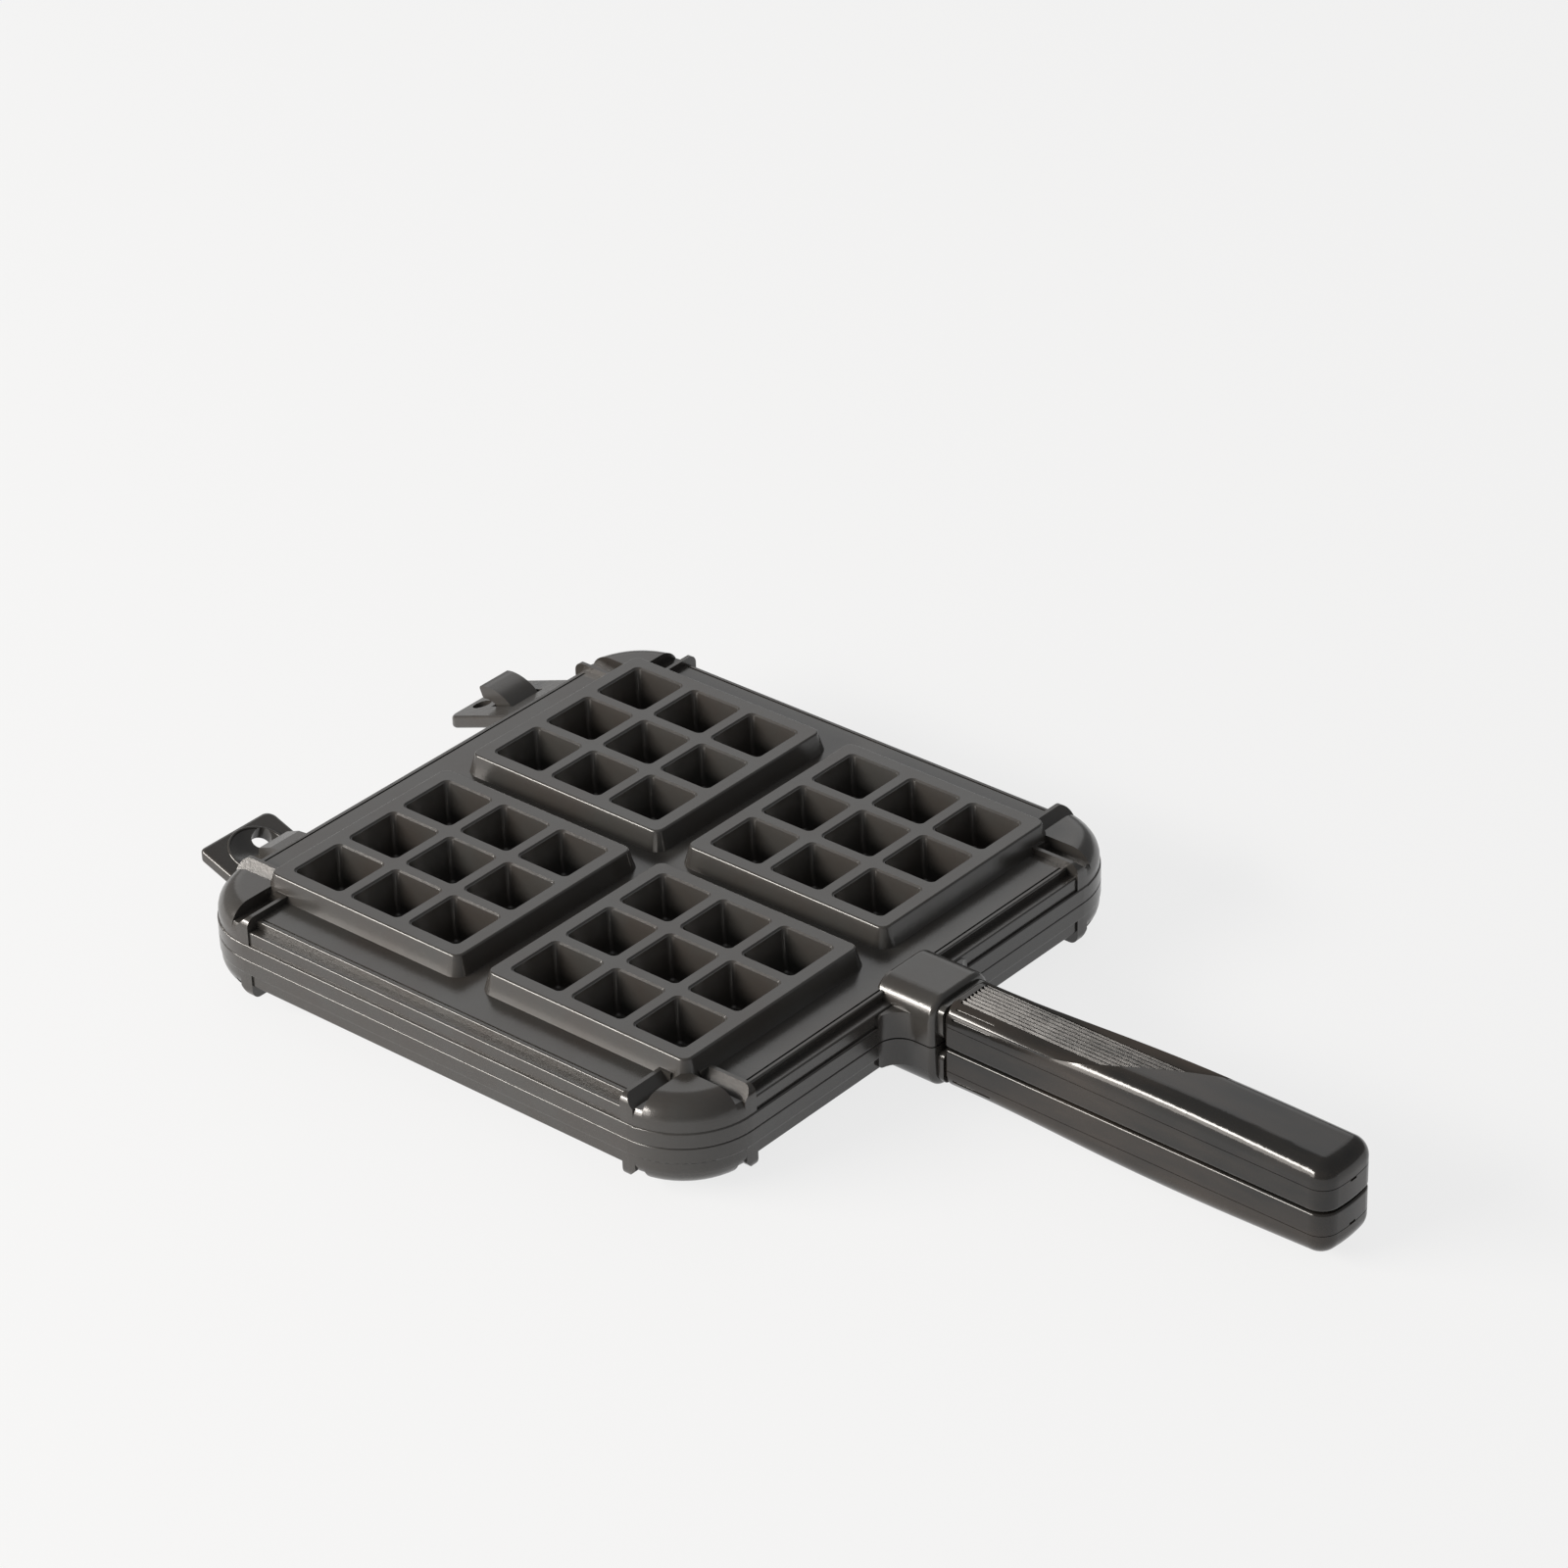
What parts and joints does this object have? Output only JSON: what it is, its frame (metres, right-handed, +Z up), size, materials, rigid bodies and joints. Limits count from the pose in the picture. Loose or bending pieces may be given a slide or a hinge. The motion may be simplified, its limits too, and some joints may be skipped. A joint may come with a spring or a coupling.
{
  "type": "stovetop waffle maker",
  "caption": "Hinged stovetop waffle iron: two square cast plates with pocketed waffle blocks, interlocking rear hooks and long black handles.",
  "frame": {"origin": "on the resting plane, half way along and half way across the closed iron", "axes": "+X towards the handles, +Z up, +Y to the side where the lower plate's hook is"},
  "size_m": [0.4082, 0.218, 0.04],
  "materials": {
    "plate": "satin non-stick coated casting",
    "handle": "glossy black heat-resistant moulding",
    "steel": "plain steel",
    "brass": "turned brass"
  },
  "bodies": {
    "lower_half": {"lower_plate": "plate", "lower_handle": "handle", "lower_handle_screws": "steel", "lower_handle_washers": "steel", "lower_handle_inserts": "brass"},
    "upper_half": {"upper_plate": "plate", "upper_handle": "handle", "upper_handle_screws": "steel", "upper_handle_washers": "steel", "upper_handle_inserts": "brass"}
  },
  "joints": [
    {"name": "lid_hinge", "type": "hinge", "parent": "lower_half", "child": "upper_half", "pos_m": [-0.1935, 0, 0.02], "axis": [0, -1, 0], "range_deg": [0, 105]}
  ]
}
